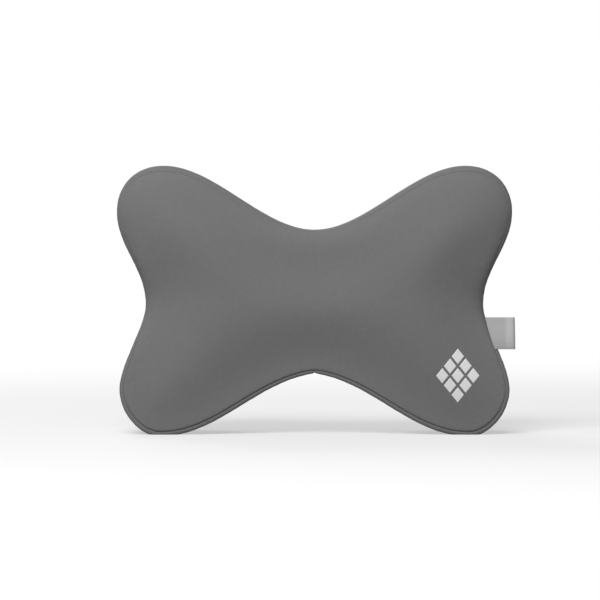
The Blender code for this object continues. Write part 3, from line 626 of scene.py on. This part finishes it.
# Towards its upper edge, which is nearer the waist, the label follows the seam back.
label_heights = label_points[..., 2].ravel()
caught = np.stack([np.full_like(label_heights, LABEL_INSIDE_X), label_heights], axis=1)
label_points[..., 1] += WAIST_DROP * at_waist(caught).reshape(label_points.shape[:2])
mesh = grid_mesh("label", label_points, label_flat, around=True, closed=True)
label = new_piece("label", mesh, satin, "pillow")
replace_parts(label, "side_label")


# Print on the front
# A plain pattern of nine lozenges, screen printed in white on the right lower lobe before the
# cover was sewn. The ink lies on the knit as a thin film with a soft edge.

PRINT_MIDDLE = (108.4 * MM, -55.5 * MM)
LOZENGE = (9.6 * MM, 11.9 * MM)  # width and height
LOZENGE_PITCH = (11.8 * MM, 14.6 * MM)
LOZENGE_FLAT = 0.97  # how far out its flat film reaches, with 1 for its rim
LOZENGE_POINTS = 13
INK = 0.12 * MM  # height of the film


def lozenge_grids():
    """Nine lozenges as grids of (u, v) from -1 to 1, at middle + ((u - v) / 2, (u + v) / 2) times
    the half size. The ink stands INK above the knit, and its rim sinks as far into it."""
    u = np.concatenate([[-1], np.linspace(-LOZENGE_FLAT, LOZENGE_FLAT, LOZENGE_POINTS), [1]])
    i, j, u, v = np.meshgrid((-1, 0, 1), (-1, 0, 1), u, u, indexing="ij")
    x = PRINT_MIDDLE[0] + (i - j) / 2 * LOZENGE_PITCH[0] + (u - v) / 4 * LOZENGE[0]
    z = PRINT_MIDDLE[1] + (i + j) / 2 * LOZENGE_PITCH[1] + (u + v) / 4 * LOZENGE[1]
    places = np.stack([x, z], axis=-1).reshape(-1, 2)
    rise = front_rise(places, front_seam).reshape(x.shape)
    rim = np.maximum(np.abs(u), np.abs(v)) > LOZENGE_FLAT
    y = FRONT_SEAM_Y - rise - np.where(rim, -INK, INK)
    return np.stack([x, y, z], axis=-1).reshape(-1, *x.shape[2:], 3)


# Plastisol ink, screen printed: white, opaque and slightly rubbery.
ink = new_material(
    "plastisol_ink_printed", Roughness=0.6, Specular_IOR_Level=0.35, Base_Color=colour("#dcdcdc")
)
new_piece("front_print", grid_mesh("front_print", lozenge_grids()), ink, "pillow")


# Zip
# A nylon coil zip behind the slot: two woven tapes, a coil of monofilament sewn to the inner edge
# of each, and the two back panels topstitched to the tapes round the slot.

COIL_WIRE = 0.3 * MM
COIL_PITCH = 1.5 * MM
COIL_STEPS = 12  # places on each turn
COIL_INNER = 0.45 * MM  # how near the coils come to the middle, which the slider's neck runs along
ROUND_SIDES = 6  # of the sections of wires and threads
THREAD = 0.2 * MM  # radius
THREAD_LIFT = 0.12 * MM
THREAD_RINGS = 6
TAPE_RIB = 0.8 * MM
STITCH = 3 * MM
STITCH_SHARE = 0.8  # of a stitch's length that lies on top of the cloth
TOPSTITCH_OUT = 2.2 * MM  # from the slot's edge


def coil_surface(side):
    """A wire along X whose middle turns round an ellipse: (x, a cos w, b sin w), with w two pi for
    each pitch. Its own section is a circle between the way out of the coil and the way across."""
    low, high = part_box(f"zip_teeth_{'upper' if side > 0 else 'lower'}")
    outer = max(abs(low.z - ZIP_Z), abs(high.z - ZIP_Z))
    height = (high.y - low.y) / 2 - COIL_WIRE
    depth = (outer - COIL_INNER) / 2 - COIL_WIRE
    turns = (high.x - low.x) / COIL_PITCH
    w = np.linspace(0, 2 * math.pi * turns, round(COIL_STEPS * turns))
    zero = np.zeros_like(w)
    middle = np.stack(
        [
            low.x + (high.x - low.x) * w / w[-1],
            (low.y + high.y) / 2 + height * np.cos(w),
            ZIP_Z + side * ((outer + COIL_INNER) / 2 + depth * np.sin(w)),
        ],
        axis=1,
    )
    out = np.stack([zero, np.cos(w) * depth, side * np.sin(w) * height], axis=1)
    out /= np.linalg.norm(out, axis=1, keepdims=True)
    across = np.cross(np.gradient(middle, axis=0), out)
    across /= np.linalg.norm(across, axis=1, keepdims=True)
    turn = np.linspace(0, 2 * math.pi, ROUND_SIDES, endpoint=False)[:, None]
    radius = np.full(len(w), COIL_WIRE)
    radius[[0, -1]] = 0
    section = out[:, None] * np.cos(turn) + across[:, None] * np.sin(turn)
    return middle[:, None] + radius[:, None, None] * section


def stitches(corners):
    """Starts and ends of the stitches along straight lines from corner to corner."""
    runs = []
    corners = np.array(corners)
    for start, way in zip(corners, np.diff(corners, axis=0)):
        count = max(1, round(np.linalg.norm(way) / STITCH))
        at = np.arange(count)[:, None] / count
        runs.append(np.stack([start + way * at, start + way * (at + STITCH_SHARE / count)]))
    return np.concatenate(runs, axis=1)


def thread_grids(ends, radius=THREAD, lift=THREAD_LIFT):
    """Threads from one end to the other over cloth that faces +Y or -Y: a middle line lifted by
    sin(pi t), of radius sqrt(sin(pi t)), so that both ends close."""
    start, end = ends[0][:, None], ends[1][:, None]
    t = np.linspace(0, 1, THREAD_RINGS)[:, None]
    swell = np.sin(math.pi * t).clip(0)
    middle = start + (end - start) * t + np.array([0, 1, 0]) * lift * swell
    along = (end - start) / np.linalg.norm(end - start, axis=2, keepdims=True)
    across = np.cross(along, (0, 1, 0))
    turn = np.linspace(0, 2 * math.pi, ROUND_SIDES, endpoint=False)[:, None]
    section = across[:, :, None] * np.cos(turn) + np.array([0, 1, 0]) * np.sin(turn)
    return middle[:, :, None] + radius * np.sqrt(swell)[:, None] * section


# Woven polyester tape: dark grey, matt, with fine ribs across.
tape = new_material("polyester_tape_woven", Roughness=0.85, Specular_IOR_Level=0.25)
tape_place = add_node(tape, "ShaderNodeTexCoord", {}).outputs["Object"]
ribs = add_node(
    tape, "ShaderNodeTexWave", {"Vector": tape_place, "Scale": wave_scale(TAPE_RIB), "Distortion": 0.8}
)
into_shader(tape, "Base Color", between(tape, ribs.outputs["Fac"], "#464646", "#585858"))
ribbed = add_node(tape, "ShaderNodeBump", {"Height": ribs.outputs["Fac"], "Distance": 0.08 * MM})
into_shader(tape, "Normal", ribbed.outputs["Normal"])
for side in ("upper", "lower"):
    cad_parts[f"zip_tape_{side}"].material_slots[0].material = tape

# Nylon monofilament, drawn and coiled: dark, smooth and half glossy.
nylon = new_material("nylon_monofilament_coiled", Roughness=0.35, Base_Color=colour("#3c3c3c"))
for name, side in (("upper", 1), ("lower", -1)):
    mesh = grid_mesh(f"zip_coil_{name}", coil_surface(side), around=True, closed=True)
    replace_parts(new_piece(f"zip_coil_{name}", mesh, nylon, "pillow"), f"zip_teeth_{name}")

# Spun polyester sewing thread in the cover's grey: matt, a little lighter than the knit.
grey_thread = new_material("polyester_thread_grey", Roughness=0.8, Base_Color=colour("#7b7b7b"))
stitch_x = ZIP_LENGTH / 2 + TOPSTITCH_OUT
stitch_z = ZIP_OPENING / 2 + TOPSTITCH_OUT
round_slot = [
    (-stitch_x, 0, ZIP_Z - stitch_z),
    (stitch_x, 0, ZIP_Z - stitch_z),
    (stitch_x, 0, ZIP_Z + stitch_z),
    (-stitch_x, 0, ZIP_Z + stitch_z),
    (-stitch_x, 0, ZIP_Z - stitch_z),
]
new_piece(
    "zip_topstitch",
    grid_mesh("zip_topstitch", thread_grids(stitches(round_slot)), around=True, closed=True),
    grey_thread,
    "pillow",
)


# Zip fittings
# Small castings of plated zinc alloy: a stop clamped over the coils at each end, and the slider
# with the pull that swings in its lug. Tumbling has rounded all their edges.

METAL_EDGE = 0.25 * MM  # width of the rounding
EDGE_STEPS = 3
SAME_CORNER = MM / 1000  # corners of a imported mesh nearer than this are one
SAME_FACE = math.radians(1)  # and triangles that meet at less than this are one flat face


def eased(node, name, material, body, edge):
    """A copy of a CAD node with its triangles joined into flat faces and its edges rounded."""
    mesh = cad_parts[node].data.copy()
    mesh.materials.clear()
    bm = bmesh.new()
    bm.from_mesh(mesh)
    bmesh.ops.remove_doubles(bm, verts=bm.verts, dist=SAME_CORNER)
    bmesh.ops.dissolve_limit(bm, angle_limit=SAME_FACE, verts=bm.verts, edges=bm.edges)
    bm.to_mesh(mesh)
    bm.free()
    made = new_piece(name, mesh, material, body)
    rounding = made.modifiers.new("Edges", "BEVEL")
    rounding.width = edge
    rounding.segments = EDGE_STEPS
    rounding.harden_normals = True
    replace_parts(made, node)
    return made


# Die-cast zinc alloy with satin nickel plating: pale metal with a soft, blurred shine.
nickel = new_material(
    "zinc_alloy_nickel_plated", Metallic=1.0, Roughness=0.3, Base_Color=colour("#b8b6b2")
)
for node in ("zip_bottom_stop", "zip_top_stop_upper", "zip_top_stop_lower"):
    eased(node, f"{node}_cast", nickel, "pillow", METAL_EDGE / 2)
eased("zip_slider", "slider_cast", nickel, "slider", METAL_EDGE)
eased("zip_pull", "pull_cast", nickel, "pull", METAL_EDGE)


# Strap
# Two halves of 25 mm black webbing, sewn to the back at their outer ends. The left one runs round
# the plug's bar and back through the keeper, and the right one is sewn round the socket's bar.
# The right one is made as a loop, which goes with the socket, and a run, which stays with the pillow.

STRAP_THICKNESS = 1.2 * MM
STRAP_ANCHOR_X = 98 * MM  # inner end of the stretch that is sewn down
STRAP_RISE = 18 * MM  # length over which it leaves the back
STRAP_SPLAY = 12 * MM  # and over which its layers open round a bar
BAR_THICKNESS = 3.2 * MM
TAIL_LENGTH = 46 * MM  # of the left tail, from the plug's bar
SEWN_TAIL_LENGTH = 18 * MM  # of the right one, from the socket's bar
TAIL_HEM = 6 * MM  # from the left tail's end to the stitches of its hem
TAIL_BOX = 4 * MM  # length of the stitched box that closes the right loop
STRAP_STITCH_IN = 2 * MM  # of the stitches from the webbing's edges
STRAP_POINTS = 24
RIBBON_STEP = 0.6 * MM
PICK = 1.4 * MM  # pitch of the weave
strap_low, strap_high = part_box("strap_left")
socket_low, socket_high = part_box("buckle_socket")
STRAP_Z = (strap_low.z + strap_high.z) / 2
STRAP_WIDTH = strap_high.z - strap_low.z
HALF_STITCHED = STRAP_WIDTH / 2 - STRAP_STITCH_IN
STRAP_LINE_Y = (socket_low.y + socket_high.y) / 2
STRAP_END_X = -strap_low.x
STRAP_LIE_Y = SEAT_GAP + STRAP_THICKNESS / 2  # middle of the webbing where it lies on the back
LAYER_OFFSET = (STRAP_THICKNESS + SEAT_GAP) / 2
BAR_OFFSET = BAR_THICKNESS / math.sqrt(2) + SEAT_GAP + STRAP_THICKNESS / 2  # clears a square bar


def strap_path(bar_x, tail):
    """Half the strap from its anchor, as two lines of (x, y): the first rises to the strap's line,
    and the second opens towards the bar, goes half round it and comes back. Both the rise and the
    opening go by (1 - cos pi t) / 2."""
    t = np.linspace(0, 1, STRAP_POINTS)
    wave = (1 - np.cos(math.pi * t)) / 2
    climb = STRAP_LINE_Y - LAYER_OFFSET - STRAP_LIE_Y
    rise = np.stack([STRAP_ANCHOR_X - STRAP_RISE * t, STRAP_LIE_Y + climb * wave], axis=1)
    opening = LAYER_OFFSET + (BAR_OFFSET - LAYER_OFFSET) * wave
    inner = np.stack([bar_x + STRAP_SPLAY * (1 - t), STRAP_LINE_Y - opening], axis=1)
    turn = math.pi * t[1:-1, None]
    bend = (bar_x, STRAP_LINE_Y) - BAR_OFFSET * np.hstack([np.sin(turn), np.cos(turn)])
    outer = inner[::-1] * (1, -1) + (0, 2 * STRAP_LINE_Y)
    end = (min(bar_x + tail, STRAP_ANCHOR_X - STRAP_RISE), STRAP_LINE_Y + LAYER_OFFSET)
    return rise, np.concatenate([inner, bend, outer, [end]])


def webbing_mesh(name, path):
    """A length of webbing along a line of (x, y)."""
    count = round(np.linalg.norm(np.diff(path, axis=0), axis=1).sum() / RIBBON_STEP)
    points, flat = ribbon_surface(evenly(path, count), STRAP_Z, STRAP_WIDTH, STRAP_THICKNESS)
    return grid_mesh(name, points, flat, around=True, closed=True)


def box_stitch(x1, x2, y):
    """Stitches in a box from x1 to x2 across the webbing, with a cross in it."""
    z1, z2 = STRAP_Z - HALF_STITCHED, STRAP_Z + HALF_STITCHED
    box = [(x1, y, z1), (x2, y, z1), (x2, y, z2), (x1, y, z2), (x1, y, z1), (x2, y, z2)]
    return np.concatenate([stitches(box), stitches([(x1, y, z2), (x2, y, z1)])], axis=1)


# Woven polypropylene webbing: near black, dull, with picks that stand out as small ribs.
webbing = new_material("polypropylene_webbing_woven", Roughness=0.7, Specular_IOR_Level=0.35)
webbing_uv = add_node(webbing, "ShaderNodeTexCoord", {}).outputs["UV"]
picks = add_node(
    webbing,
    "ShaderNodeTexBrick",
    {
        "Vector": webbing_uv,
        "Scale": 1.0,
        "Mortar Size": 0.12 * PICK,
        "Mortar Smooth": 1.0,
        "Brick Width": 2 * PICK,
        "Row Height": PICK,
        "Color1": colour("#ffffff"),
        "Color2": colour("#c8c8c8"),
        "Mortar": colour("#000000"),
    },
)
into_shader(webbing, "Base Color", between(webbing, picks.outputs["Color"], "#151515", "#2a2a2a"))
woven = add_node(webbing, "ShaderNodeBump", {"Height": picks.outputs["Color"], "Distance": 0.18 * MM})
into_shader(webbing, "Normal", woven.outputs["Normal"])
black_thread = new_material("polyester_thread_black", Roughness=0.6, Base_Color=colour("#303030"))

socket_bar_x = socket_high.x - BAR_THICKNESS / 2
plug_bar_x = -(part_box("buckle_plug")[0].x + BAR_THICKNESS / 2)
sewn_end = np.array([(STRAP_END_X, STRAP_LIE_Y), (STRAP_ANCHOR_X, STRAP_LIE_Y)])
left_path = np.concatenate([sewn_end[:1], *strap_path(plug_bar_x, TAIL_LENGTH)]) * (-1, 1)
right_run, right_loop = strap_path(socket_bar_x, SEWN_TAIL_LENGTH)
meeting_x = socket_bar_x + SEWN_TAIL_LENGTH + STRAP_STITCH_IN
meeting = [(meeting_x, STRAP_LINE_Y - LAYER_OFFSET)]
right_run = np.concatenate([right_run, meeting])
right_loop = np.concatenate([meeting, right_loop])
left_mesh = webbing_mesh("strap_left_woven", left_path)
left_strap = new_piece("strap_left_woven", left_mesh, webbing, "pillow")
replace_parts(left_strap, "strap_left")
end_mesh = webbing_mesh("strap_right_end", sewn_end)
new_piece("strap_right_end", end_mesh, webbing, "pillow")
run_mesh = webbing_mesh("strap_right_woven", right_run)
right_strap = new_piece("strap_right_woven", run_mesh, webbing, "pillow")
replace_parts(right_strap, "strap_right")
loop_mesh = webbing_mesh("strap_right_loop", right_loop)
new_piece("strap_right_loop", loop_mesh, webbing, "socket")
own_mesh(right_strap)

over_back = SEAT_GAP + STRAP_THICKNESS
over_tail = STRAP_LINE_Y + LAYER_OFFSET + STRAP_THICKNESS / 2
box_near = STRAP_ANCHOR_X + STRAP_STITCH_IN / 2
box_far = STRAP_END_X - STRAP_STITCH_IN
hem_x = -(plug_bar_x + TAIL_LENGTH - TAIL_HEM)
hem = [(hem_x, over_tail, STRAP_Z + way * HALF_STITCHED) for way in (-1, 1)]
sewn = [
    box_stitch(box_near, box_far, over_back),
    box_stitch(-box_far, -box_near, over_back),
    stitches(hem),
]
mesh = grid_mesh(
    "strap_stitches", thread_grids(np.concatenate(sewn, axis=1)), around=True, closed=True
)
new_piece("strap_stitches", mesh, black_thread, "pillow")
tail_end = socket_bar_x + SEWN_TAIL_LENGTH - STRAP_STITCH_IN / 2
tail_box = box_stitch(tail_end - TAIL_BOX, tail_end, over_tail)
mesh = grid_mesh("tail_stitches", thread_grids(tail_box), around=True, closed=True)
new_piece("tail_stitches", mesh, black_thread, "socket")


# Keeper and buckle
# Three mouldings in black acetal: the keeper that holds the strap's tail, and the plug and socket
# of a side-release buckle, with ribs on the socket for the fingers.

PLASTIC_EDGE = 0.7 * MM  # width of the rounding
RIB = 0.7 * MM  # radius
RIB_PITCH = 2.6 * MM
RIB_START = 1.4 * RIB_PITCH  # from the socket's end to the first rib
RIBS = 5
RIB_LENGTH = 17 * MM
GRAIN = 0.3 * MM

# Acetal, injection moulded in a finely spark-eroded mould: black with a dull, even sheen.
acetal = new_material("acetal_injection_moulded", Roughness=0.42, Base_Color=colour("#1f1f1f"))
acetal_place = add_node(acetal, "ShaderNodeTexCoord", {}).outputs["Object"]
grain = add_node(acetal, "ShaderNodeTexNoise", {"Vector": acetal_place, "Scale": 1 / GRAIN})
grained = add_node(acetal, "ShaderNodeBump", {"Height": grain.outputs["Fac"], "Distance": 0.012 * MM})
into_shader(acetal, "Normal", grained.outputs["Normal"])

eased("strap_keeper", "keeper_moulded", acetal, "keeper", PLASTIC_EDGE)
eased("buckle_plug", "plug_moulded", acetal, "pillow", PLASTIC_EDGE / 2)
eased("buckle_socket", "socket_moulded", acetal, "socket", PLASTIC_EDGE / 2)

rib_ends = np.empty((2, RIBS, 3))
rib_ends[..., 0] = socket_low.x + RIB_START + RIB_PITCH * np.arange(RIBS)
rib_ends[..., 1] = socket_high.y
rib_ends[0, :, 2] = STRAP_Z - RIB_LENGTH / 2
rib_ends[1, :, 2] = STRAP_Z + RIB_LENGTH / 2
mesh = grid_mesh("socket_ribs", thread_grids(rib_ends, RIB, 0), around=True, closed=True)
new_piece("socket_ribs", mesh, acetal, "socket")


# Studio
# A pale floor that fades into a white surround, a large soft lamp in front and a weaker one behind,
# and the camera straight in front, as far off as a long lens stands.

FRAME_WIDTH = 456.3 * MM  # width of the view at the widest plane of the pillow
VIEW_MIDDLE = (-11 * MM, -66 * MM, 1.5 * MM)
CAMERA_DISTANCE = 2.6
CAMERA_LIFT = 0.045  # how far the camera stands above the middle of the view
SENSOR = 36.0  # width, in millimetres like the lens
SURROUND = 0.15  # how strongly the surround lights the pillow
LAMP_SIZE = 1.2
KEY_POWER = 52  # watts
KEY_PLACE = (-0.45, -1.6, 1.5)
FILL_POWER = 26
FILL_PLACE = (-0.7, 1.8, 1.2)
FLOOR_REACH = 8.0
PAINT_FROM = 0.35  # distance from the pillow at which the paint begins to give way
PAINT_TO = 1.6  # and at which it has gone
GLOW = 0.5  # share of plain light in the paint next to the pillow


def aim(thing, place, target):
    """Stands a lamp or camera at a place and turns it to look at the target."""
    thing.location = place
    way = np.array(target) - np.array(place)
    turn = math.atan2(-way[0], way[1])
    tilt = math.atan2(math.hypot(way[0], way[1]), -way[2])
    thing.rotation_euler = (tilt, 0, turn)
    bpy.context.scene.collection.objects.link(thing)


camera_data = bpy.data.cameras.new("camera")
camera_data.sensor_width = SENSOR
camera_data.lens = SENSOR * CAMERA_DISTANCE / FRAME_WIDTH
camera = bpy.data.objects.new("camera", camera_data)
aim(
    camera,
    (VIEW_MIDDLE[0], VIEW_MIDDLE[1] - CAMERA_DISTANCE, VIEW_MIDDLE[2] + CAMERA_LIFT),
    VIEW_MIDDLE,
)
bpy.context.scene.camera = camera

for name, power, place in (("key", KEY_POWER, KEY_PLACE), ("fill", FILL_POWER, FILL_PLACE)):
    lamp_data = bpy.data.lights.new(name, "AREA")
    lamp_data.size = LAMP_SIZE
    lamp_data.energy = power
    aim(bpy.data.objects.new(name, lamp_data), place, (0, 0, 0))


def glow(owner):
    """A strength of 1 for the eye and for what shines in metal, and of SURROUND as light."""
    ray = add_node(owner, "ShaderNodeLightPath", {}).outputs
    straight, mirrored = ray["Is Camera Ray"], ray["Is Glossy Ray"]
    seen = add_node(owner, "ShaderNodeMath", {0: straight, 1: mirrored}, operation="MAXIMUM")
    strength = add_node(
        owner, "ShaderNodeMapRange", {"Value": seen.outputs["Value"], "To Min": SURROUND}
    )
    return strength.outputs["Result"]


world = bpy.data.worlds.new("studio")
world.use_nodes = True
surround = world.node_tree.nodes["Background"]
surround.inputs["Color"].default_value = colour("#ffffff")
world.node_tree.links.new(glow(world), surround.inputs["Strength"])
bpy.context.scene.world = world

floor_mesh = bpy.data.meshes.new("floor")
ways = ((-1, -1), (1, -1), (1, 1), (-1, 1))
corners = [(x * FLOOR_REACH, y * FLOOR_REACH, FLOOR_Z) for x, y in ways]
floor_mesh.from_pydata(corners, [], [(0, 1, 2, 3)])
floor = bpy.data.objects.new("floor", floor_mesh)
bpy.context.scene.collection.objects.link(floor)

# Matt white paint, which gives way to the surround's own light further out, so no horizon shows.
paint = new_material(
    "floor_paint_matt", Roughness=0.9, Specular_IOR_Level=0.0, Base_Color=colour("#e4e4e4")
)
paint_place = add_node(paint, "ShaderNodeTexCoord", {}).outputs["Object"]
away = add_node(paint, "ShaderNodeVectorMath", {0: paint_place}, operation="LENGTH")
fade = add_node(
    paint,
    "ShaderNodeMapRange",
    {"Value": away.outputs["Value"], "From Min": PAINT_FROM, "From Max": PAINT_TO, "To Min": GLOW},
    interpolation_type="SMOOTHSTEP",
)
white = add_node(paint, "ShaderNodeEmission", {"Strength": glow(paint)})
painted = paint.node_tree.nodes["Principled BSDF"].outputs["BSDF"]
mixed = add_node(
    paint, "ShaderNodeMixShader", {0: fade.outputs["Result"], 1: painted, 2: white.outputs["Emission"]}
)
floor_surface = paint.node_tree.nodes["Material Output"].inputs["Surface"]
paint.node_tree.links.new(mixed.outputs["Shader"], floor_surface)
floor_mesh.materials.append(paint)

bpy.context.scene.view_settings.view_transform = "Standard"
